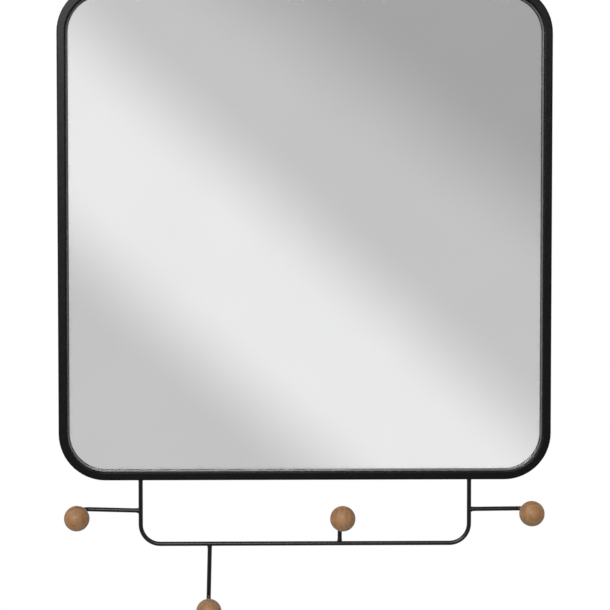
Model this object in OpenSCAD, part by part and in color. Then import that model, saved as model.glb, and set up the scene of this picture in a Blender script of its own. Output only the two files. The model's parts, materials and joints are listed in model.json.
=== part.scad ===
// Square wall mirror in a round-cornered metal frame, with a rod rack of four
// ball-ended hooks below it. Millimetres.
// Row frame: x to the right, -y out of the wall towards the viewer, z up.
// y = 0 is the wall. The origin is midway between the two keyhole entries.
// Every module below draws lying down: x right, y up the wall, z out of the wall.

/* [Frame] */
// outer width of the frame
frame_w = 500; // [450:5:800]
// outer height of the frame
frame_h = 500; // [420:5:900]
// depth of the frame, wall to front face
frame_depth = 25; // [23:0.5:40]
// width of the tube seen from the front
face_w = 9; // [7:0.5:16]
// outer radius of the four corners
corner_r = 47.5; // [30:0.5:80]
// wall thickness of the tube
tube_wall = 1.2; // [0.8:0.1:1.6]
// radius rolled on the edges of the tube
edge_r = 1.6; // [0.6:0.1:2.5]

/* [Mirror and back] */
// width of the retaining lip seen inside the tube
lip_w = 1.4; // [1:0.1:4]
// thickness of the retaining lip
lip_t = 1.2; // [0.8:0.1:2]
// how far the lip sits behind the front face
lip_recess = 3; // [1:0.5:5]
// thickness of the mirror glass
glass_t = 4; // [3:0.5:5]
// thickness of the foam tape
tape_t = 1; // [0.6:0.1:1.5]
// width of each tape strip
tape_w = 20; // [10:1:40]
// number of tape strips
tape_count = 4; // [2:1:6]
// thickness of the fibreboard back
board_t = 3; // [2.5:0.5:4]
// gap between the glass or board edge and the tube
pane_gap = 0.3; // [0.2:0.05:0.8]

/* [Board clips] */
// distance of each clip from the middle of its side
clip_offset = 90; // [60:5:110]
// width of a clip
clip_w = 12; // [10:1:20]
// length of the foot that lies on the board
clip_foot = 14; // [12:0.5:20]
// sheet thickness of a clip
clip_t = 1.5; // [1:0.1:1.8]
// height of the leg that is welded to the tube
clip_leg = 8; // [5:0.5:9]
// radius of a screw head
screw_head_r = 3; // [2.8:0.1:3.5]
// height of a screw head
screw_head_h = 1.6; // [1.2:0.1:2]
// radius of a screw shank
screw_r = 1.4; // [1.2:0.1:1.6]
// clearance round a shank in its hole
screw_gap = 0.2; // [0.1:0.05:0.3]
// steel left between the screw head and the end of the foot
foot_end = 2.6; // [1:0.1:4]
// board left under the pilot holes
board_skin = 0.5; // [0.3:0.1:1]

/* [Keyhole plates] */
// distance between the two keyholes
hang_spacing = 300; // [280:10:330]
// width of a plate
plate_w = 34; // [28:1:44]
// thickness of a plate
plate_t = 2; // [1.5:0.5:3]
// radius of the round entry of a keyhole
key_entry_r = 4.5; // [4:0.1:6]
// half width of the narrow slot of a keyhole
key_slot_r = 2.3; // [2:0.1:2.6]
// rise from the entry to the seat of the screw
key_rise = 9; // [7:0.5:14]
// steel left above the seat of the screw
key_top = 10; // [6:0.5:14]
// steel left below the entry
key_foot = 5; // [3:0.5:10]
// radius on the corners of a plate
plate_r = 3; // [1:0.5:6]

/* [Rod rack] */
// diameter of the rods
rod_d = 4.5; // [3.5:0.1:6]
// distance from the wall to the middle of the rack rod
rod_out = 12.5; // [8:0.5:15]
// distance between the two upright legs of the rack
rack_w = 336; // [260:2:360]
// drop from the frame to the middle of the level bar
rack_drop = 66.8; // [60:0.2:120]
// bend radius at the middle line of the rack rod
rack_bend_r = 20; // [12:1:24]
// drop from the frame to the root of the left arm
drop_left = 32.5; // [20:0.1:34]
// drop from the frame to the root of the right arm
drop_right = 31.9; // [20:0.1:34]
// how far the weld of a side arm spreads beyond the arm, along the rack rod
side_weld_leg = 1.2; // [0.3:0.05:2]
// the same for the middle arm
middle_weld_leg = 0.65; // [0.3:0.05:2]
// the same for the bottom arm
bottom_weld_leg = 0.5; // [0.3:0.05:2]
// how far the weld of an upright leg spreads beyond the leg, under the frame
frame_weld_leg = 0.6; // [0.3:0.05:2]
// length of a weld along the rod
weld_len = 2.6; // [1.5:0.1:4]

/* [Hooks] */
// reach of the left arm, leg to ball
reach_left = 60.4; // [45:0.2:80]
// reach of the right arm, leg to ball
reach_right = 58.1; // [45:0.1:80]
// reach of the middle arm, bar to ball
reach_middle = 32.4; // [26:0.2:50]
// reach of the bottom arm, bar to ball
reach_bottom = 60.4; // [45:0.2:80]
// place of the middle arm along the bar, from the centre
middle_x = 35.4; // [20:0.1:90]
// place of the bottom arm along the bar, from the centre
bottom_x = -97.5; // [-120:0.5:-30]
// distance from the rack to the middle of a ball
prong_out = 45; // [38:1:70]
// bend radius at the middle line of an arm
arm_bend_r = 8; // [6:0.5:12]
// rise of the left arm towards its ball, in degrees
tilt_left = 1.65; // [0:0.05:3]
// rise of the right arm towards its ball, in degrees
tilt_right = 0.5; // [0:0.05:3]
// swing of the bottom arm to the left, in degrees
tilt_bottom = 1.4; // [0:0.05:3]
// lean of the left prong about its arm, in degrees
lean_left = -3.4; // [-4:0.1:4]
// lean of the right prong
lean_right = -1.9; // [-4:0.1:4]
// lean of the middle prong
lean_middle = 1.6; // [-4:0.1:4]
// lean of the bottom prong
lean_bottom = -2.2; // [-4:0.1:4]

/* [Balls] */
// diameter of a wooden ball
ball_d = 25.4; // [22:0.1:35]
// step in radius from the rod down to the threaded end of an arm
thread_step = 0.35; // [0.2:0.05:0.5]
// wall of the brass insert
insert_wall = 1.05; // [0.7:0.05:1.5]
// length of the brass insert
insert_len = 9; // [7:0.5:10]
// how far the threaded end stops short of the end of the insert
tip_short = 1; // [0.5:0.1:3]
// clearance round an insert and a threaded end
bore_gap = 0.05; // [0.03:0.01:0.1]
// width of the flat ring round the mouth of the ball's bore
mouth_rim = 0.45; // [0.2:0.05:1]
// depth of the bore beyond the insert
bore_spare = 0.5; // [0.2:0.1:1]

/* [Hidden] */
rod_r = rod_d / 2;
ball_r = ball_d / 2;
round_fn = 48;
corner_fn = 144;

// levels out of the wall
lip_front_z = frame_depth - lip_recess;
glass_front_z = lip_front_z - lip_t;
glass_back_z = glass_front_z - glass_t;
board_front_z = glass_back_z - tape_t;
board_back_z = board_front_z - board_t;
clip_back_z = board_back_z - clip_t;

// the opening inside the tube and the panes that lie in it
inner_w = frame_w - 2 * face_w;
inner_h = frame_h - 2 * face_w;
inner_r = corner_r - face_w;
pane_w = inner_w - 2 * pane_gap;
pane_h = inner_h - 2 * pane_gap;
pane_r = inner_r - pane_gap;

// tape strips, set in from the edges of the pane
tape_inset = 40;
tape_len = pane_h - 2 * tape_inset;
tape_pitch = (pane_w - 2 * tape_inset) / (tape_count - 1);

// keyhole plates, hung from the inner wall of the top tube
key_drop = key_top + key_slot_r + key_rise;
plate_h = key_drop + key_entry_r + key_foot;
hang_drop = inner_h / 2 - key_drop;

// board clips and their screws
screw_hole_r = screw_r + screw_gap;
screw_at = clip_foot - foot_end - screw_head_r;
pilot_depth = board_t - board_skin;
shank_len = clip_t + pilot_depth - screw_gap;
recess_w = 0.7;
recess_len = 3.2;
recess_depth = 0.8;

// rods
rack_x = rack_w / 2;
rack_top_y = -frame_h / 2 - weld_len;
frame_weld_r = rod_r + frame_weld_leg;
bar_y = -frame_h / 2 - rack_drop;
left_y = -frame_h / 2 - drop_left;
right_y = -frame_h / 2 - drop_right;
arm_start = rod_r + weld_len;

// a weld on the rack rod keeps to the rod's middle and starts inside its outline
weld_step = 0.3;
weld_side = rod_r - weld_step;
cut_len = 6 * rod_r;
weld_root = sqrt(rod_r * rod_r - weld_side * weld_side) - weld_step;
weld_h = arm_start - weld_root;

// the threaded end, the insert and the bore of a ball
tip_r = rod_r - thread_step;
tip_len = insert_len - tip_short;
insert_bore_r = tip_r + bore_gap;
insert_r = insert_bore_r + insert_wall;
bore_r = insert_r + bore_gap;
bore_depth = insert_len + bore_spare;
mouth_r = bore_r + mouth_rim;
mouth = sqrt(ball_r * ball_r - mouth_r * mouth_r);

// one row per hook: root x, root y, heading, tilt, lean, reach, weld leg
LEFT = 0;
RIGHT = 1;
MIDDLE = 2;
BOTTOM = 3;
hooks = [
    [-rack_x, left_y, 180, -tilt_left, lean_left, reach_left, side_weld_leg],
    [rack_x, right_y, 0, tilt_right, lean_right, reach_right, side_weld_leg],
    [middle_x, bar_y, 90, 0, lean_middle, reach_middle, middle_weld_leg],
    [bottom_x, bar_y, 270, -tilt_bottom, lean_bottom, reach_bottom, bottom_weld_leg]
];
TILT = 3;
LEAN = 4;
REACH = 5;
WELD = 6;

// ---- placing ----

// stands the lying drawing against the wall, with the keyholes at z = 0
module stand() {
    translate([0, 0, -hang_drop])
        rotate([90, 0, 0])
            children();
}

// the root of a hook on the rack, local x square to the rod it stands on
module at_root(i) {
    translate([hooks[i][0], hooks[i][1], rod_out])
        rotate([0, 0, hooks[i][2]])
            children();
}

// the same with local x along the tilted arm and the prong leaning about it
module at_arm(i) {
    at_root(i)
        rotate([0, 0, hooks[i][TILT]])
            rotate([hooks[i][LEAN], 0, 0])
                children();
}

// half the frame along the direction of side i, and half across it
function half_out(i) = i % 2 == 0 ? frame_w / 2 : frame_h / 2;
function half_along(i) = i % 2 == 0 ? frame_h / 2 : frame_w / 2;

// ---- outlines ----

module rounded_outline(w, h, r, fn = corner_fn) {
    square([w - 2 * r, h], center = true);
    square([w, h - 2 * r], center = true);
    for (sx = [-1, 1])
        for (sy = [-1, 1])
            translate([sx * (w / 2 - r), sy * (h / 2 - r)])
                circle(r = r, $fn = fn);
}

module rounded_plate(w, h, r, t) {
    linear_extrude(height = t)
        rounded_outline(w, h, r);
}

// cross-section of the tube, x outwards, y out of the wall
module tube_section() {
    translate([face_w / 2, frame_depth / 2])
        difference() {
            rounded_outline(face_w, frame_depth, edge_r, round_fn);
            square([face_w - 2 * tube_wall, frame_depth - 2 * tube_wall], center = true);
        }
}

// ---- frame and panes ----

module frame_tube() {
    color([0.05, 0.05, 0.055])
        stand()
            for (i = [0 : 3])
                rotate([0, 0, 90 * i]) {
                    translate([half_out(i) - face_w, 0, 0])
                        rotate([90, 0, 0])
                            linear_extrude(height = 2 * (half_along(i) - corner_r), center = true)
                                tube_section();
                    translate([half_out(i) - corner_r, half_along(i) - corner_r, 0])
                        rotate_extrude(angle = 90, $fn = corner_fn)
                            translate([inner_r, 0])
                                tube_section();
                }
}

module retaining_lip() {
    color([0.2, 0.2, 0.21])
        stand()
            translate([0, 0, glass_front_z])
                linear_extrude(height = lip_t)
                    difference() {
                        rounded_outline(inner_w, inner_h, inner_r);
                        rounded_outline(inner_w - 2 * lip_w, inner_h - 2 * lip_w, inner_r - lip_w);
                    }
}

module mirror_glass() {
    color([0.85, 0.87, 0.88])
        stand()
            translate([0, 0, glass_back_z])
                rounded_plate(pane_w, pane_h, pane_r, glass_t);
}

module tape_strips() {
    color([0.9, 0.9, 0.88])
        stand()
            for (i = [0 : tape_count - 1])
                translate([(i - (tape_count - 1) / 2) * tape_pitch, 0, board_front_z + tape_t / 2])
                    cube([tape_w, tape_len, tape_t], center = true);
}

module backing_board() {
    color([0.5, 0.37, 0.24])
        stand()
            translate([0, 0, board_back_z])
                difference() {
                    rounded_plate(pane_w, pane_h, pane_r, board_t);
                    for (i = [0 : 7])
                        at_clip(i)
                            translate([-screw_at, 0, -pilot_depth])
                                cylinder(r = screw_r, h = 2 * pilot_depth, $fn = round_fn);
                }
}

// ---- clips: local origin on the inner wall of the tube, x towards the tube ----

module at_clip(i) {
    side = floor(i / 2);
    hand = i % 2 == 0 ? 1 : -1;
    rotate([0, 0, 90 * side])
        translate([half_out(side) - face_w, hand * clip_offset, 0])
            children();
}

module board_clip(i) {
    color([0.72, 0.73, 0.75])
        stand()
            at_clip(i)
                translate([0, 0, clip_back_z])
                    difference() {
                        union() {
                            translate([-clip_foot, -clip_w / 2, 0])
                                cube([clip_foot, clip_w, clip_t]);
                            translate([-clip_t, -clip_w / 2, clip_t - clip_leg])
                                cube([clip_t, clip_w, clip_leg]);
                        }
                        translate([-screw_at, 0, clip_t / 2])
                            cylinder(r = screw_hole_r, h = 2 * clip_t, center = true, $fn = round_fn);
                    }
}

// local origin under the head, z into the board
module clip_screw() {
    difference() {
        union() {
            translate([0, 0, -screw_head_h])
                cylinder(r = screw_head_r, h = screw_head_h, $fn = round_fn);
            cylinder(r = screw_r - bore_gap, h = shank_len, $fn = round_fn);
        }
        translate([0, 0, -screw_head_h])
            for (a = [0, 90])
                rotate([0, 0, a])
                    cube([recess_len, recess_w, 2 * recess_depth], center = true);
    }
}

module clip_screws() {
    color([0.65, 0.66, 0.68])
        stand()
            for (i = [0 : 7])
                at_clip(i)
                    translate([-screw_at, 0, clip_back_z])
                        clip_screw();
}

// ---- keyhole plates ----

module hanger_plate(side) {
    color([0.06, 0.06, 0.065])
        stand()
            translate([side * hang_spacing / 2, hang_drop, 0])
                linear_extrude(height = plate_t)
                    difference() {
                        translate([0, key_drop - plate_h / 2])
                            rounded_outline(plate_w, plate_h, plate_r, round_fn);
                        circle(r = key_entry_r, $fn = round_fn);
                        translate([-key_slot_r, 0])
                            square([2 * key_slot_r, key_rise]);
                        translate([0, key_rise])
                            circle(r = key_slot_r, $fn = round_fn);
                    }
}

// ---- rack ----

module rack_rod() {
    leg = rack_top_y - (bar_y + rack_bend_r);
    bar = rack_w - 2 * rack_bend_r;
    color([0.05, 0.05, 0.055])
        stand()
            translate([0, 0, rod_out]) {
                for (side = [-1, 1])
                    translate([side * rack_x, rack_top_y, 0])
                        rotate([90, 0, 0])
                            cylinder(r = rod_r, h = leg, $fn = round_fn);
                translate([-bar / 2, bar_y, 0])
                    rotate([0, 90, 0])
                        cylinder(r = rod_r, h = bar, $fn = round_fn);
                for (side = [0, 1])
                    translate([(2 * side - 1) * bar / 2, bar_y + rack_bend_r, 0])
                        rotate([0, 0, 180 + 90 * side])
                            rotate_extrude(angle = 90, $fn = corner_fn)
                                translate([rack_bend_r, 0])
                                    circle(r = rod_r, $fn = round_fn);
            }
}

module rack_weld(side) {
    color([0.05, 0.05, 0.055])
        stand()
            translate([side * rack_x, -frame_h / 2, rod_out])
                rotate([90, 0, 0])
                    cylinder(r1 = frame_weld_r, r2 = rod_r, h = weld_len, $fn = round_fn);
}

// ---- hooks ----

module hook_arm(i) {
    reach = hooks[i][REACH];
    color([0.05, 0.05, 0.055])
        stand()
            at_arm(i) {
                translate([arm_start, 0, 0])
                    rotate([0, 90, 0])
                        cylinder(r = rod_r, h = reach - arm_bend_r - arm_start, $fn = round_fn);
                translate([reach - arm_bend_r, 0, arm_bend_r])
                    rotate([90, 0, 0])
                        rotate([0, 0, -90])
                            rotate_extrude(angle = 90, $fn = corner_fn)
                                translate([arm_bend_r, 0])
                                    circle(r = rod_r, $fn = round_fn);
                translate([reach, 0, arm_bend_r])
                    cylinder(r = rod_r, h = prong_out - mouth - arm_bend_r, $fn = round_fn);
                translate([reach, 0, prong_out - mouth])
                    cylinder(r = tip_r, h = tip_len, $fn = round_fn);
            }
}

// a weld between the rack rod and the flat end of an arm
module arm_weld(i) {
    toe_r = rod_r + hooks[i][WELD];
    color([0.05, 0.05, 0.055])
        stand()
            at_root(i)
                difference() {
                    rotate([0, 0, hooks[i][TILT]])
                        intersection() {
                            translate([weld_root, 0, 0])
                                rotate([0, 90, 0])
                                    cylinder(r1 = toe_r, r2 = rod_r, h = weld_h, $fn = round_fn);
                            cube([2 * arm_start, cut_len, 2 * weld_side], center = true);
                        }
                    rotate([90, 0, 0])
                        cylinder(r = rod_r, h = cut_len, center = true, $fn = round_fn);
                }
}

module ball(i) {
    color([0.66, 0.47, 0.34])
        stand()
            at_arm(i)
                translate([hooks[i][REACH], 0, prong_out])
                    difference() {
                        sphere(r = ball_r, $fn = corner_fn);
                        translate([-ball_r, -ball_r, -mouth - ball_r])
                            cube([ball_d, ball_d, ball_r]);
                        translate([0, 0, -ball_r])
                            cylinder(r = bore_r, h = ball_r - mouth + bore_depth, $fn = round_fn);
                    }
}

module ball_insert(i) {
    color([0.75, 0.6, 0.3])
        stand()
            at_arm(i)
                translate([hooks[i][REACH], 0, prong_out - mouth])
                    linear_extrude(height = insert_len)
                        difference() {
                            circle(r = insert_r, $fn = round_fn);
                            circle(r = insert_bore_r, $fn = round_fn);
                        }
}

// ---- nodes ----

frame_tube();
retaining_lip();
mirror_glass();
tape_strips();
backing_board();
board_clip(0);  // board_clip_right_upper
board_clip(1);  // board_clip_right_lower
board_clip(2);  // board_clip_top_left
board_clip(3);  // board_clip_top_right
board_clip(4);  // board_clip_left_lower
board_clip(5);  // board_clip_left_upper
board_clip(6);  // board_clip_bottom_right
board_clip(7);  // board_clip_bottom_left
clip_screws();
hanger_plate(-1);  // hanger_plate_left
hanger_plate(1);  // hanger_plate_right
rack_rod();
rack_weld(-1);  // rack_weld_left
rack_weld(1);  // rack_weld_right
hook_arm(LEFT);  // hook_arm_left
hook_arm(RIGHT);  // hook_arm_right
hook_arm(MIDDLE);  // hook_arm_middle
hook_arm(BOTTOM);  // hook_arm_bottom
arm_weld(LEFT);  // arm_weld_left
arm_weld(RIGHT);  // arm_weld_right
arm_weld(MIDDLE);  // arm_weld_middle
arm_weld(BOTTOM);  // arm_weld_bottom
ball(LEFT);  // ball_left
ball(RIGHT);  // ball_right
ball(MIDDLE);  // ball_middle
ball(BOTTOM);  // ball_bottom
ball_insert(LEFT);  // ball_insert_left
ball_insert(RIGHT);  // ball_insert_right
ball_insert(MIDDLE);  // ball_insert_middle
ball_insert(BOTTOM);  // ball_insert_bottom
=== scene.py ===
import json
import math

import bmesh
import bpy
from mathutils import Matrix, Vector, noise


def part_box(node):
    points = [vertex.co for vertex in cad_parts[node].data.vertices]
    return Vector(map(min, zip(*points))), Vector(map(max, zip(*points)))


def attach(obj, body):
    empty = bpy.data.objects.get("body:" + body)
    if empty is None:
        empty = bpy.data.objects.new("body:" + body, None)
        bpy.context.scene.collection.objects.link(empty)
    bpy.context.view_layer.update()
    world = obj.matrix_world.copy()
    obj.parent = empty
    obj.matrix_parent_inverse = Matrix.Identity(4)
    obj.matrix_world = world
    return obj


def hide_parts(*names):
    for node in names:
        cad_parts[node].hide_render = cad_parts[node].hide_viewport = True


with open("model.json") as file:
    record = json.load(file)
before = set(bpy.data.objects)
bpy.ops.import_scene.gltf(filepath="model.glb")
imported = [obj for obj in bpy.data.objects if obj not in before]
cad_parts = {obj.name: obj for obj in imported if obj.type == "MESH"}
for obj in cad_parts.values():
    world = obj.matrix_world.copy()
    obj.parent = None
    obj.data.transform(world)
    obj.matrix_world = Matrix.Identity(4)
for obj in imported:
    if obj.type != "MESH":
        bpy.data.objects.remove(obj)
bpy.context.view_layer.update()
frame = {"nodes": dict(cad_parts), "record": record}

MM = 0.001
RIGHT, OUT, UP = Vector((1, 0, 0)), Vector((0, -1, 0)), Vector((0, 0, 1))
SIDES = ("left", "right", "middle", "bottom")
# heading of each arm in the wall plane and lean of its prong about the arm, in degrees
ARMS = {"left": (178.35, -3.4), "right": (0.5, -1.9), "middle": (90.0, 1.6), "bottom": (268.6, -2.2)}


def arm_axes(side):
    """Directions along the arm, across it in the wall plane, and along its prong."""
    heading, lean = (math.radians(v) for v in ARMS[side])
    along = RIGHT * math.cos(heading) + UP * math.sin(heading)
    across = UP * math.cos(heading) - RIGHT * math.sin(heading)
    return along, across, OUT * math.cos(lean) - across * math.sin(lean)


# ---------------------------------------------------------------- camera

# the viewpoint in metres, and how far the camera turns to the right and down
CAM_PLACE = (-0.0386, -1.8443, -0.2181)
CAM_YAW, CAM_PITCH = math.radians(1.202), math.radians(2.316)
CAM_SENSOR = 36.0
FOCAL_PX, IMAGE_PX = 1800.0, 610.0
CAM_LENS = FOCAL_PX / IMAGE_PX * CAM_SENSOR
CAM_NEAR, CAM_FAR = 0.05, 50.0


def make_camera():
    """The photograph's view."""
    data = bpy.data.cameras.new("camera")
    data.sensor_width = CAM_SENSOR
    data.lens = CAM_LENS
    data.clip_start, data.clip_end = CAM_NEAR, CAM_FAR
    cam = bpy.data.objects.new("camera", data)
    ahead = Vector((math.sin(CAM_YAW) * math.cos(CAM_PITCH),
                    math.cos(CAM_YAW) * math.cos(CAM_PITCH), -math.sin(CAM_PITCH)))
    side = Vector((math.cos(CAM_YAW), -math.sin(CAM_YAW), 0.0))
    top = side.cross(ahead)
    turn = Matrix((side, top, -ahead)).transposed()
    cam.matrix_world = Matrix.Translation(CAM_PLACE) @ turn.to_4x4()
    bpy.context.scene.collection.objects.link(cam)
    bpy.context.scene.camera = cam


# ---------------------------------------------------------------- node trees

class Tree:
    """A short way to write a node tree. A socket is named by its name or its number."""

    def __init__(self, tree):
        self.tree = tree
        self.tree.nodes.clear()

    def add(self, kind, ins=None, **props):
        node = self.tree.nodes.new("ShaderNode" + kind)
        for key, value in props.items():
            setattr(node, key, value)
        for key, value in (ins or {}).items():
            self.put(value, node.inputs[key])
        return node

    def put(self, value, socket):
        if isinstance(value, bpy.types.NodeSocket):
            self.tree.links.new(value, socket)
        else:
            socket.default_value = value

    def math(self, op, a, b=0.0):
        return self.add("Math", {0: a, 1: b}, operation=op).outputs[0]

    def vector_math(self, op, a, b):
        return self.add("VectorMath", {0: a, 1: b}, operation=op).outputs

    def span(self, x, lo, hi, to_lo=0.0, to_hi=1.0):
        """A smooth step of x from to_lo, at lo, to to_hi, at hi."""
        ins = {"Value": x, "From Min": lo, "From Max": hi, "To Min": to_lo, "To Max": to_hi}
        return self.add("MapRange", ins, interpolation_type="SMOOTHSTEP").outputs["Result"]

    def mix(self, share, a, b):
        return self.add("Mix", {0: share, 6: a, 7: b}, data_type="RGBA").outputs[2]

    def noise(self, at, scale, detail=2.0, rough=0.5, warp=0.0):
        ins = {"Vector": at, "Scale": scale, "Detail": detail, "Roughness": rough, "Distortion": warp}
        return self.add("TexNoise", ins).outputs["Fac"]

    def cells(self, at, scale, result):
        return self.add("TexVoronoi", {"Vector": at, "Scale": scale}, feature="F1").outputs[result]

    def stretch(self, at, scale, turn=(0.0, 0.0, 0.0)):
        return self.add("Mapping", {"Vector": at, "Scale": scale, "Rotation": turn}).outputs["Vector"]


def rgb(red, green, blue):
    return (red, green, blue, 1.0)


# ---------------------------------------------------------------- materials

class Paint(Tree):
    """A material with one Principled shader, painted in the object's own space: texture scales count per
    metre, and lengths are in metres."""

    def __init__(self, name, **constants):
        self.material = bpy.data.materials.new(name)
        self.material.use_nodes = True
        super().__init__(self.material.node_tree)
        out = self.add("OutputMaterial")
        self.shader = self.add("BsdfPrincipled")
        self.put(self.shader.outputs["BSDF"], out.inputs["Surface"])
        self.at = self.add("TexCoord").outputs["Object"]
        for key, value in constants.items():
            self.shader.inputs[key.replace("_", " ")].default_value = value

    def colour(self, value):
        self.put(value, self.shader.inputs["Base Color"])

    def rough(self, value):
        self.put(value, self.shader.inputs["Roughness"])

    def bump(self, height, depth, strength):
        node = self.add("Bump", {"Height": height, "Strength": strength, "Distance": depth})
        self.put(node.outputs["Normal"], self.shader.inputs["Normal"])

    def edges(self, radius):
        """1 on outer edges, 0 on flats: how far a rounded normal leans from the true one."""
        soft = self.add("Bevel", {"Radius": radius}, samples=4).outputs["Normal"]
        true = self.add("NewGeometry").outputs["Normal"]
        return self.span(self.vector_math("DOT_PRODUCT", soft, true)["Value"], 0.995, 0.90)


def coat(name, dark, light, rub, gloss, rough, worn_edges):
    """Coated steel: orange peel, faint clouding and, on edges, a slightly paler rub."""
    p = Paint(name, Specular_IOR_Level=gloss)
    cloud = p.noise(p.at, 45.0, 3.0)
    speck = p.noise(p.at, 1600.0, 1.0)
    tone = p.mix(p.span(cloud, 0.3, 0.7), rgb(*dark), rgb(*light))
    tone = p.mix(p.span(speck, 0.60, 0.80, 0.0, 0.35), tone, rgb(*rub))
    if worn_edges:
        worn = p.math("MULTIPLY", p.edges(0.0006), p.span(p.noise(p.at, 220.0, 3.0, 0.6), 0.45, 0.75))
        tone = p.mix(p.math("MULTIPLY", worn, 0.55), tone, rgb(*rub))
    p.colour(tone)
    p.rough(p.span(p.noise(p.at, 160.0, 2.0), 0.3, 0.7, *rough))
    peel = p.math("ADD", p.noise(p.at, 900.0, 2.0), p.math("MULTIPLY", speck, 0.4))
    p.bump(peel, 0.00004, 0.5)
    return p.material


def float_glass():
    """Clear glass with a trace of green and, in places, of haze."""
    p = Paint("float_glass", Transmission_Weight=1.0, IOR=1.52)
    p.colour(p.mix(p.noise(p.at, 12.0), rgb(0.984, 0.990, 0.987), rgb(0.988, 0.992, 0.990)))
    p.rough(p.span(p.noise(p.at, 30.0, 3.0), 0.55, 0.85, 0.0, 0.012))
    return p.material


def silver(centre_z, half, shade_and_wear_rim=0.006):
    """The silvering of a square pane: almost even, and darker in patches towards the rim. That darker rim is
    partly wear of the silver and partly painted shade, for the dark line where the lip's edge meets the
    glass.
    """
    p = Paint("silvering", Metallic=1.0)
    split = p.add("SeparateXYZ", {"Vector": p.at}).outputs
    across = p.math("ABSOLUTE", split["X"])
    along = p.math("ABSOLUTE", p.math("SUBTRACT", split["Z"], centre_z))
    rim = p.span(p.math("MAXIMUM", across, along), half - shade_and_wear_rim, half)
    # painted shade and wear: near the rim the silver is darkened in patches, partly as wear and partly as the
    # dark line along the lip's edge
    rim_shade_and_wear = p.math("MULTIPLY", rim, p.span(p.noise(p.at, 150.0, 3.0), 0.3, 0.8))
    cloud = p.noise(p.at, 9.0, 2.0)
    tone = p.mix(p.span(cloud, 0.35, 0.65), rgb(0.928, 0.930, 0.929), rgb(0.940, 0.942, 0.941))
    p.colour(p.mix(rim_shade_and_wear, tone, rgb(0.80, 0.79, 0.77)))
    p.rough(p.span(cloud, 0.3, 0.8, 0.004, 0.016))
    return p.material


def wood(name, grain, seed, pole):
    """Turned hardwood. grain is the way the fibres run and pole the way to the lathe mark, both in the
    ball's own space."""
    p = Paint(name, Specular_IOR_Level=0.36)
    turn = grain.to_track_quat("Z", "Y").inverted().to_euler()
    shifted = p.vector_math("ADD", p.at, (0.031 * seed, 0.017 * seed, 0.023 * seed))["Vector"]
    at = p.stretch(shifted, (1.0, 1.0, 1.0), turn)
    warp = p.noise(p.stretch(at, (90.0, 90.0, 22.0)), 1.0, 2.0)
    ring = p.add("TexWave", {"Vector": p.stretch(at, (1.0, 1.0, 0.12)), "Scale": 62.0, "Distortion": 5.0,
                             "Detail": 2.0, "Detail Scale": 1.6},
                 wave_type="BANDS", bands_direction="X").outputs["Fac"]
    fibre = p.noise(p.stretch(at, (2400.0, 2400.0, 130.0)), 1.0, 3.0, 0.6)
    patch = p.noise(at, 95.0, 2.0)
    olive = p.noise(at, 130.0, 2.0, 0.5, 1.0)
    pore = p.cells(p.stretch(at, (1500.0, 1500.0, 240.0)), 1.0, "Distance")
    tone = p.mix(p.span(ring, 0.25, 0.85), rgb(0.278, 0.144, 0.065), rgb(0.205, 0.097, 0.037))
    tone = p.mix(p.span(patch, 0.42, 0.66), tone, rgb(0.322, 0.143, 0.055))
    tone = p.mix(p.span(olive, 0.48, 0.70, 0.0, 0.8), tone, rgb(0.232, 0.138, 0.047))
    tone = p.mix(p.span(warp, 0.35, 0.75, 0.0, 0.5), tone, rgb(0.344, 0.215, 0.117))
    tone = p.mix(p.span(fibre, 0.46, 0.70, 0.0, 0.65), tone, rgb(0.183, 0.088, 0.036))
    tone = p.mix(p.span(pore, 0.05, 0.28, 0.75, 0.0), tone, rgb(0.099, 0.044, 0.018))
    # end grain darkens round the lathe mark
    gap = p.vector_math("DISTANCE", p.at, pole * BALL_R)["Value"]
    tone = p.mix(p.span(gap, 0.0004, 0.0010, 0.50, 0.0), tone, rgb(0.143, 0.070, 0.031))
    p.colour(tone)
    p.rough(p.span(fibre, 0.3, 0.7, 0.44, 0.54))
    rise = p.math("SUBTRACT", p.math("MULTIPLY", fibre, -0.6), p.span(pore, 0.05, 0.3, 1.0, 0.0))
    p.bump(rise, 0.00005, 0.6)
    return p.material


def fibreboard():
    """Raw brown board: flock, darker chips and faint patches."""
    p = Paint("fibreboard", Specular_IOR_Level=0.2)
    flock = p.noise(p.at, 420.0, 4.0, 0.65)
    chip = p.noise(p.stretch(p.at, (900.0, 900.0, 320.0), (0.0, 0.7, 0.0)), 1.0, 2.0)
    damp = p.noise(p.at, 14.0, 2.0)
    tone = p.mix(p.span(flock, 0.3, 0.7), rgb(0.400, 0.262, 0.155), rgb(0.300, 0.190, 0.108))
    tone = p.mix(p.span(chip, 0.56, 0.72, 0.0, 0.7), tone, rgb(0.205, 0.120, 0.066))
    tone = p.mix(p.span(damp, 0.4, 0.7, 0.0, 0.3), tone, rgb(0.330, 0.215, 0.125))
    p.colour(tone)
    p.rough(p.span(flock, 0.3, 0.7, 0.74, 0.88))
    p.bump(flock, 0.00012, 0.6)
    return p.material


def foam():
    """White foam tape with its cells."""
    p = Paint("foam_tape", Specular_IOR_Level=0.25)
    cell = p.cells(p.at, 1500.0, "Distance")
    p.colour(p.mix(p.span(cell, 0.1, 0.7), rgb(0.66, 0.66, 0.62), rgb(0.80, 0.80, 0.77)))
    p.rough(p.span(p.noise(p.at, 300.0), 0.3, 0.7, 0.75, 0.9))
    p.bump(cell, 0.0001, 0.6)
    return p.material


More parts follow.
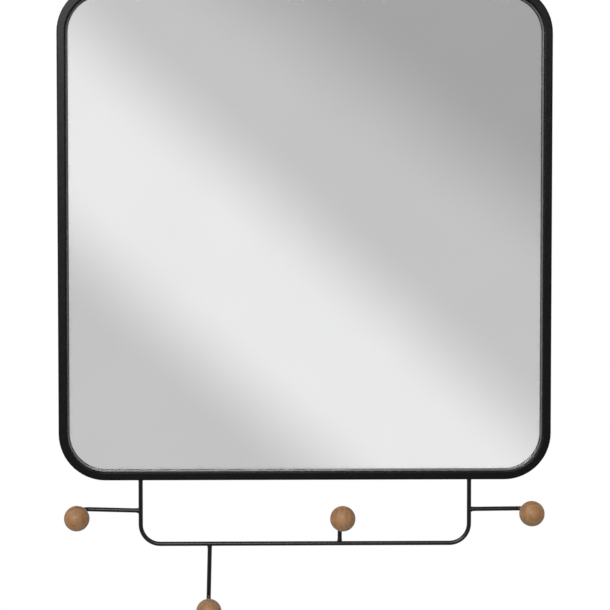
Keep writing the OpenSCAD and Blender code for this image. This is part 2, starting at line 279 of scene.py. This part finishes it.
def zinc():
    """Bright zinc plate: spangle, brushed lines and duller edges."""
    p = Paint("zinc_plate", Metallic=1.0)
    grey = p.add("SeparateXYZ", {"Vector": p.cells(p.at, 260.0, "Color")}).outputs["X"]
    brush = p.noise(p.stretch(p.at, (260.0, 260.0, 4200.0)), 1.0, 2.0)
    stain = p.noise(p.at, 90.0, 4.0, 0.6)
    tone = p.mix(grey, rgb(0.50, 0.51, 0.53), rgb(0.66, 0.67, 0.68))
    tone = p.mix(p.span(stain, 0.52, 0.75, 0.0, 0.6), tone, rgb(0.36, 0.36, 0.36))
    p.colour(p.mix(p.math("MULTIPLY", p.edges(0.0004), 0.5), tone, rgb(0.30, 0.30, 0.30)))
    p.rough(p.math("ADD", p.span(grey, 0.0, 1.0, 0.26, 0.38), p.math("MULTIPLY", brush, 0.12)))
    p.bump(brush, 0.00002, 0.4)
    return p.material


def brass():
    """Turned brass, with the lines of the tool."""
    p = Paint("turned_brass", Metallic=1.0)
    line = p.noise(p.stretch(p.at, (300.0, 5200.0, 300.0)), 1.0, 2.0)
    cloud = p.noise(p.at, 420.0, 3.0)
    p.colour(p.mix(p.span(cloud, 0.3, 0.7), rgb(0.72, 0.53, 0.25), rgb(0.58, 0.40, 0.18)))
    p.rough(p.span(line, 0.3, 0.7, 0.24, 0.40))
    p.bump(line, 0.00003, 0.5)
    return p.material


# ---------------------------------------------------------------- mesh helpers

SAME_POINT = 1e-7
CORNER_STEPS = 24


def piece(name, bm, mats, node, place=None, crease=35.0):
    """A finished mesh piece that stands for one CAD node. Edges over crease degrees stay sharp."""
    bmesh.ops.remove_doubles(bm, verts=bm.verts, dist=SAME_POINT)
    bmesh.ops.recalc_face_normals(bm, faces=bm.faces)
    for f in bm.faces:
        f.smooth = True
    for e in bm.edges:
        if len(e.link_faces) == 2:
            e.smooth = e.calc_face_angle(0.0) < math.radians(crease)
    mesh = bpy.data.meshes.new(name)
    bm.to_mesh(mesh)
    bm.free()
    for m in mats:
        mesh.materials.append(m)
    obj = bpy.data.objects.new(name, mesh)
    bpy.context.scene.collection.objects.link(obj)
    if place is not None:
        obj.matrix_world = place
    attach(obj, "root")
    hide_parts(node)


def skin(bm, rings, ends=True):
    """Quads between closed rings of equal length and, with ends, a face on the first and the last ring."""
    verts = [[bm.verts.new(p) for p in ring] for ring in rings]
    count = len(rings[0])
    for a, b in zip(verts, verts[1:]):
        for i in range(count):
            j = (i + 1) % count
            bm.faces.new((a[i], a[j], b[j], b[i]))
    if ends:
        bm.faces.new(verts[0])
        bm.faces.new(verts[-1])


def round_loop(half_w, half_h, r, centre):
    """Points and inward normals of a rounded rectangle that stands in the wall plane."""
    out = []
    for k, (sx, sz) in enumerate(((1, 1), (-1, 1), (-1, -1), (1, -1))):
        cx, cz = sx * (half_w - r), sz * (half_h - r)
        for i in range(CORNER_STEPS + 1):
            a = math.radians(90.0 * k + 90.0 * i / CORNER_STEPS)
            n = Vector((math.cos(a), 0.0, math.sin(a)))
            out.append((Vector((cx, 0.0, cz)) + n * r + centre, -n))
    return out


def outline(lo, hi):
    """Half sizes and centre of a node's box in the wall plane."""
    return (hi.x - lo.x) / 2, (hi.z - lo.z) / 2, Vector(((lo.x + hi.x) / 2, 0.0, (lo.z + hi.z) / 2))


# ---------------------------------------------------------------- mirror and lip

CORNER_R = 38.5 * MM          # inside corner of the tube
PANE_GAP = 0.3 * MM           # between the pane and the tube
ARRIS = 0.4 * MM              # ground off the edges of the pane
SEAT = 0.02 * MM              # left free between the pane and what it lies against
LIP_W = 1.4 * MM
LIP_FLAT = 0.9 * MM           # width of the lip before its inner edge rolls over
LIP_SLOPE = 0.17 * MM         # how far the lip has sunk where the roll starts
ROLL_STEPS = 8


def make_pane(glass_mat, silver_mat):
    """The glass with ground arrises, silvered on its back."""
    lo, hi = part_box("mirror_glass")
    half_w, half_h, mid = outline(lo, hi)
    front, back = lo.y + SEAT, hi.y - SEAT
    loop = round_loop(half_w, half_h, CORNER_R - PANE_GAP, mid)
    rings = []
    for inset, y in ((ARRIS, front), (0.0, front + ARRIS), (0.0, back - ARRIS), (ARRIS, back)):
        rings.append([p + n * inset + Vector((0, y, 0)) for p, n in loop])
    bm = bmesh.new()
    skin(bm, rings)
    for f in bm.faces:
        on_back = all(abs(v.co.y - back) < 1e-6 for v in f.verts)
        f.material_index = 1 if on_back else 0
    piece("mirror_pane", bm, (glass_mat, silver_mat), "mirror_glass", crease=20.0)


def make_lip(mat):
    """A steel strip sprung round inside the tube. It slopes to the glass and its inner edge is rolled."""
    lo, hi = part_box("retaining_lip")
    half_w, half_h, mid = outline(lo, hi)
    profile = [(0.0, hi.y), (0.0, lo.y)]
    for i in range(ROLL_STEPS + 1):
        a = math.radians(90.0 * i / ROLL_STEPS)
        profile.append((LIP_FLAT + (LIP_W - LIP_FLAT) * math.sin(a),
                        lo.y + LIP_SLOPE + (hi.y - lo.y - LIP_SLOPE) * (1.0 - math.cos(a))))
    rings = []
    for p, n in round_loop(half_w, half_h, CORNER_R, mid):
        rings.append([p + n * inset + Vector((0, y, 0)) for inset, y in profile])
    rings.append(rings[0])
    bm = bmesh.new()
    skin(bm, rings, ends=False)
    piece("lip_strip", bm, (mat,), "retaining_lip")


# ---------------------------------------------------------------- welds

ROD_R = 2.25 * MM
WELD_LEN = 2.6 * MM           # length of a weld up its own rod
# half widths of each arm's bead along the rack rod, towards arm_axes' across and away from it
TOES = {"left": (3.40 * MM, 2.75 * MM), "right": (2.55 * MM, 3.30 * MM),
        "middle": (2.85 * MM, 2.35 * MM), "bottom": (2.40 * MM, 2.70 * MM)}
ARM_TOE = 2.05 * MM           # half width of an arm's bead out from the wall
RACK_TOE = 2.65 * MM          # half width of a bead under the frame
BEAD_POINTS, BEAD_ROWS = 56, 12
BEAD_NECK = ROD_R * 1.03      # radius where the bead thins out on its own rod
BEAD_RUN = 0.35 * MM          # how far it runs on beyond WELD_LEN
BEAD_HOLLOW = 2.4             # how hollow its flank is: 1 is a straight cone
BEAD_UNEVEN, BEAD_RIPPLE = 0.14 * MM, 0.05 * MM
ROD_SINK, TUBE_SINK = 0.25 * MM, 0.1 * MM       # how far its toe goes into the rack rod and the tube
FOOT_DEPTH, FOOT_SHARE = 0.5 * MM, 0.55         # the hidden ring that closes the foot
END_STEP, END_SHARES = 0.12 * MM, (0.96, 0.80)  # the two hidden rings that close the end


def wobble(seed, a, amount):
    """A repeatable uneven edge round a bead, closed after a full turn."""
    v = Vector((math.cos(a) * 1.3 + seed * 7.1, math.sin(a) * 1.3, seed * 3.7))
    return amount * noise.noise(v) + 0.35 * amount * math.sin(11 * a + seed)


def bead_ring(row, toe, side, on_rod, seed):
    """Points of one ring, as lengths along, across and out. Row -1 is the ring that closes the foot, and
    those after BEAD_ROWS close the end."""
    t = max(0.0, min(1.0, row / BEAD_ROWS))
    reach = (ROD_R if on_rod else 0.0) + WELD_LEN
    ring = []
    for i in range(BEAD_POINTS):
        a = 2 * math.pi * i / BEAD_POINTS
        half = (toe[0] + toe[1]) / 2 + (toe[0] - toe[1]) / 2 * math.cos(a)
        wide = math.hypot(half * math.cos(a), side * math.sin(a)) + wobble(seed, a, BEAD_UNEVEN)
        radius = BEAD_NECK + (wide - ROD_R) * (1 - t) ** BEAD_HOLLOW
        radius += BEAD_RIPPLE * math.sin(9 * t + 3 * math.cos(a)) * (1 - t)
        y, z = radius * math.cos(a), radius * math.sin(a)
        base = math.sqrt(max(ROD_R ** 2 - z * z, 0.0)) - ROD_SINK if on_rod else -TUBE_SINK
        x = base + (reach + BEAD_RUN - base) * t
        if row < 0:
            x, y, z = base - FOOT_DEPTH, y * FOOT_SHARE, z * FOOT_SHARE
        if row > BEAD_ROWS:
            share = END_SHARES[row - BEAD_ROWS - 1]
            x, y, z = x + END_STEP * (row - BEAD_ROWS), y * share, z * share
        ring.append((x, y, z))
    return ring


def make_bead(name, node, root, along, across, toe, side, on_rod, mat, seed):
    """A fillet bead from a rod's end (its axis is along) down to the piece it is welded to.
    toe is the pair of half widths there, towards across and away from it, and side the one square to that."""
    out = along.cross(across)
    rings = []
    for row in range(-1, BEAD_ROWS + 1 + len(END_SHARES)):
        ring = bead_ring(row, toe, side, on_rod, seed)
        rings.append([root + along * x + across * y + out * z for x, y, z in ring])
    bm = bmesh.new()
    skin(bm, rings)
    piece(name, bm, (mat,), node, crease=60.0)


def make_welds(mat):
    """The rack's two beads under the frame and the arms' four on the rack rod."""
    rod_lo, rod_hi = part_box("rack_rod")
    out = (rod_lo.y + rod_hi.y) / 2
    legs = {"left": rod_lo.x + ROD_R, "right": rod_hi.x - ROD_R}
    bar_z = rod_lo.z + ROD_R
    tube_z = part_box("frame_tube")[0].z
    for k, (side, x) in enumerate(legs.items()):
        root = Vector((x, out, tube_z))
        make_bead("rack_bead_" + side, "rack_weld_" + side, root, -UP, RIGHT,
                  (RACK_TOE, RACK_TOE), RACK_TOE, False, mat, 5 + k)
    for k, side in enumerate(SIDES):
        lo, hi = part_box("arm_weld_" + side)
        mid = (lo + hi) / 2
        root = Vector((legs[side], out, mid.z)) if side in legs else Vector((mid.x, out, bar_z))
        along, across, _ = arm_axes(side)
        make_bead("arm_bead_" + side, "arm_weld_" + side, root, along, across,
                  TOES[side], ARM_TOE, True, mat, k)


# ---------------------------------------------------------------- balls

BALL_R = 12.7 * MM
BALL_ROWS, BALL_POINTS = 84, 112
MOUTH_R = 3.5 * MM            # radius of the flat round the bore
MOUTH_SOFT = 0.02 * MM        # how far the flat's corner stands outside that
MOUTH_RIM = 0.18 * MM         # chamfer of the bore's edge
BORE_R, BORE_DEPTH = 3.05 * MM, 9.5 * MM
TIP_RISE, TIP_STEP = 0.3 * MM, 0.6 * MM         # the drill's taper at the end of the bore
TIP_R = 0.4 * MM
DIMPLE_R, DIMPLE_DEPTH = 0.8 * MM, 0.12 * MM
SANDED = 0.02 * MM            # half of the most that the uneven sanding takes off
# the lathe mark and the grain of each ball, in the row frame
BALLS = {
    "left": ((0.121, -0.987, 0.102), (0.75, 0.1, 0.65)),
    "right": ((0.013, -0.988, 0.155), (1.0, 0.15, 0.05)),
    "middle": ((0.002, -0.987, 0.158), (0.1, 0.2, 1.0)),
    "bottom": ((0.064, -0.984, 0.168), (0.3, 0.0, 1.0)),
}


def ball_profile():
    """The ball's section, as radii and heights along the prong: down the sphere, over the mouth and up
    the bore."""
    mouth = -math.sqrt(BALL_R ** 2 - MOUTH_R ** 2)
    end = math.acos(mouth / BALL_R)
    turns = [end * i / BALL_ROWS for i in range(1, BALL_ROWS)]
    profile = [(BALL_R * math.sin(a), BALL_R * math.cos(a)) for a in turns]
    profile += [(MOUTH_R + MOUTH_SOFT, mouth), (BORE_R + MOUTH_RIM, mouth), (BORE_R, mouth + MOUTH_RIM),
                (BORE_R, mouth + BORE_DEPTH - TIP_RISE), (BORE_R - TIP_STEP, mouth + BORE_DEPTH),
                (TIP_R, mouth + BORE_DEPTH)]
    return profile


def turned(n, pole, seed):
    """The surface in direction n: sanded a little unevenly, and sunk at the lathe mark."""
    sanded = SANDED * (noise.noise(n * 2.2 + Vector((seed * 3.1, 0, 0))) - 1.0)
    off = (n - pole).length * BALL_R
    dip = DIMPLE_DEPTH * max(0.0, 1.0 - (off / DIMPLE_R) ** 2) ** 1.5
    return n * (BALL_R + sanded - dip)


def make_ball(side, seed):
    """A turned ball with a flat, bored mouth behind and a shallow lathe mark in front."""
    ahead = arm_axes(side)[2]
    side_dir = ahead.cross(UP).normalized()
    top_dir = side_dir.cross(ahead)
    pole, grain = (Vector(v).normalized() for v in BALLS[side])
    rings = []
    for k, (r, h) in enumerate(ball_profile()):
        ring = []
        for i in range(BALL_POINTS):
            a = 2 * math.pi * i / BALL_POINTS
            p = side_dir * (r * math.cos(a)) + top_dir * (r * math.sin(a)) + ahead * h
            ring.append(turned(p.normalized(), pole, seed) if k < BALL_ROWS - 1 else p)
        rings.append(ring)
    bm = bmesh.new()
    skin(bm, rings)
    lo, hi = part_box("ball_" + side)
    centre = Vector(((lo.x + hi.x) / 2, lo.y + BALL_R, (lo.z + hi.z) / 2))
    mat = wood("wood_" + side, grain, seed, pole)
    piece("turned_ball_" + side, bm, (mat,), "ball_" + side, Matrix.Translation(centre), crease=50.0)


# ---------------------------------------------------------------- light and floor

# A direction's slopes are how far it leaves the mirror's axis, sideways and upwards, per unit of length in
# front of the mirror.
# Soft bands that the glass shows: the angle that each one's step faces, then its place, width and rise.
BANDS = ((-2.208, -0.0996, 0.074, 0.1763),
         (-2.3021, -0.0141, 0.0578, 0.2679),
         (-2.2975, 0.0753, 0.0565, -0.2689))
BAND_BASE = 0.3709            # brightness before the first band, as the glass shows it
MIRROR_SHARE = 0.925          # share of the light that the glass and its silver give back
BAND_CENTRE = 0.02            # slope sideways of the middle of the bands
BAND_END, ROOM_START = 0.19, 0.34     # slopes from there between which they change into the room
# the room round the bands: its walls in front, beside and behind, and the share of them left at the floor
AHEAD, BESIDE, BEHIND, FLOOR_SHARE = 0.40, 0.10, 0.30, 0.10
# slopes between which reflections change from that room to the white background
WHITE_FROM, WHITE_AT = 0.5, 1.5
# directions beside the mirror and behind it count as steep ones
LEAST_FRONT, BACK_SLOPE = 0.05, 10.0

# the panels' distance from the mirror and the middle of the mirror, in metres
PANEL_FAR, PANEL_AIM = 9.0, Vector((0.0, 0.0, -0.22))
# the floor's radius and height in metres, and the points round it
FLOOR_R, FLOOR_Z, FLOOR_POINTS = 2.6, -1.55, 96


def band_level(t, u, w):
    """Brightness of the soft bands at the slopes u and w."""
    level = BAND_BASE / MIRROR_SHARE
    for angle, place, width, rise in BANDS:
        s = t.math("ADD", t.math("MULTIPLY", u, math.cos(angle)), t.math("MULTIPLY", w, math.sin(angle)))
        step = t.span(s, place - width / 2, place + width / 2, 0.0, rise / MIRROR_SHARE)
        level = t.math("ADD", step, level)
    return level


def room_level(t, way):
    """Brightness of the room in a direction, darker towards the floor."""
    front_half = t.span(way["Y"], -0.75, -0.25, AHEAD, BESIDE)
    back_half = t.span(way["Y"], 0.0, 0.6, 0.0, BEHIND - BESIDE)
    return t.math("MULTIPLY", t.math("ADD", front_half, back_half),
                  t.span(way["Z"], -0.35, 0.05, FLOOR_SHARE, 1.0))


def white_share(t, away):
    """1 where a ray sees the white background: all camera rays, and reflections far off the axis."""
    rays = t.add("LightPath").outputs
    shiny = t.math("MAXIMUM", rays["Is Glossy Ray"], rays["Is Transmission Ray"])
    shiny = t.math("MULTIPLY", shiny, t.span(away, WHITE_FROM, WHITE_AT))
    return t.math("MAXIMUM", rays["Is Camera Ray"], shiny)


def make_world():
    """Bands and room for light and reflections, and plain white for the camera."""
    world = bpy.data.worlds.new("studio")
    bpy.context.scene.world = world
    world.use_nodes = True
    t = Tree(world.node_tree)
    way = t.add("SeparateXYZ", {"Vector": t.add("TexCoord").outputs["Generated"]}).outputs
    front = t.math("MAXIMUM", t.math("MULTIPLY", way["Y"], -1.0), LEAST_FRONT)
    u, w = t.math("DIVIDE", way["X"], front), t.math("DIVIDE", way["Z"], front)
    beside = t.math("POWER", t.math("SUBTRACT", u, BAND_CENTRE), 2.0)
    away = t.math("SQRT", t.math("ADD", beside, t.math("POWER", w, 2.0)))
    away = t.math("MAXIMUM", away, t.math("MULTIPLY", way["Y"], BACK_SLOPE))
    fade = t.span(away, BAND_END, ROOM_START)
    seen = t.math("ADD", t.math("MULTIPLY", band_level(t, u, w), t.math("SUBTRACT", 1.0, fade)),
                  t.math("MULTIPLY", room_level(t, way), fade))
    dim = t.add("Background", {"Color": seen, "Strength": 1.0})
    white = t.add("Background", {"Color": rgb(1.0, 1.0, 1.0), "Strength": 1.0})
    both = t.add("MixShader", {0: white_share(t, away), 1: dim.outputs[0], 2: white.outputs[0]})
    t.add("OutputWorld", {"Surface": both.outputs[0]})


def make_panel(name, across, up, bright, behind=False):
    """A soft panel before or behind the mirror. across and up are its edges, as slopes from the mirror's
    centre. The one behind leaves no highlights."""
    wide, high = (across[1] - across[0]) * PANEL_FAR, (up[1] - up[0]) * PANEL_FAR
    data = bpy.data.lights.new(name, "AREA")
    data.shape, data.size, data.size_y = "RECTANGLE", wide, high
    data.energy = bright * math.pi * wide * high
    lamp = bpy.data.objects.new(name, data)
    way = 1.0 if behind else -1.0
    middle = Vector(((across[0] + across[1]) / 2, way, (up[0] + up[1]) / 2))
    lamp.location = PANEL_AIM + middle * PANEL_FAR
    lamp.rotation_euler = (math.radians(-90.0 * way), 0.0, 0.0)
    lamp.visible_camera, lamp.visible_glossy = False, not behind
    bpy.context.scene.collection.objects.link(lamp)


def make_floor():
    """A plain pale floor, as far below the mirror as in a room."""
    bm = bmesh.new()
    rim = []
    for i in range(FLOOR_POINTS):
        a = 2 * math.pi * i / FLOOR_POINTS
        rim.append(bm.verts.new((FLOOR_R * math.cos(a), FLOOR_R * math.sin(a), FLOOR_Z)))
    bm.faces.new(rim)
    mesh = bpy.data.meshes.new("floor")
    bm.to_mesh(mesh)
    bm.free()
    p = Paint("pale_floor", Specular_IOR_Level=0.2)
    p.colour(p.mix(p.noise(p.at, 6.0, 3.0), rgb(0.72, 0.72, 0.71), rgb(0.76, 0.76, 0.75)))
    p.rough(p.span(p.noise(p.at, 40.0), 0.3, 0.7, 0.7, 0.8))
    mesh.materials.append(p.material)
    obj = bpy.data.objects.new("floor", mesh)
    bpy.context.scene.collection.objects.link(obj)


# ---------------------------------------------------------------- all together

DARK, LIGHT, RUB = (0.0010, 0.0010, 0.0011), (0.0018, 0.0018, 0.0019), (0.010, 0.010, 0.0105)
# The lip's tones are a grey far lighter than the black coat: painted light, standing in for the light that
# the lip's narrow inner edge catches.
LIP_DARK, LIP_LIGHT, LIP_RUB = (0.085, 0.085, 0.086), (0.105, 0.105, 0.106), (0.14, 0.14, 0.14)


def dress_nodes(looks, rod_look):
    """Materials for the CAD nodes that stay as they are."""
    for part in frame["record"]["subparts"]:
        name, kind = part["node"], part["material_slot"]
        if kind in looks:
            slots = frame["nodes"][name].data.materials
            slots.clear()
            slots.append(rod_look if name.startswith(("rack_rod", "hook_arm")) else looks[kind])


make_camera()
make_world()
make_floor()
make_panel("key", (-0.53, 0.07), (0.16, 0.54), 12.0)
make_panel("fill", (0.07, 0.43), (0.16, 0.54), 0.7)
make_panel("high_left", (-1.15, -0.5), (0.95, 1.6), 15.0)
make_panel("back", (-0.25, 0.25), (-0.25, 0.25), 10.0, behind=True)

black = coat("black_coat", DARK, LIGHT, RUB, 0.15, (0.235, 0.285), worn_edges=True)
rod_black = coat("rod_coat", DARK, LIGHT, RUB, 0.30, (0.22, 0.26), worn_edges=False)
# painted light: the lip gets the lighter grey tones above instead of the black coat
grey = coat("lip_coat", LIP_DARK, LIP_LIGHT, LIP_RUB, 0.3, (0.20, 0.26), worn_edges=False)
dress_nodes({"black_coat": black, "foam": foam(), "fibreboard": fibreboard(), "zinc": zinc(),
             "brass": brass()}, rod_black)

pane_lo, pane_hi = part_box("mirror_glass")
make_pane(float_glass(), silver((pane_lo.z + pane_hi.z) / 2, (pane_hi.x - pane_lo.x) / 2))
make_lip(grey)
make_welds(rod_black)
for n, side in enumerate(SIDES):
    make_ball(side, n + 1)

bpy.context.scene.view_settings.view_transform = "Standard"
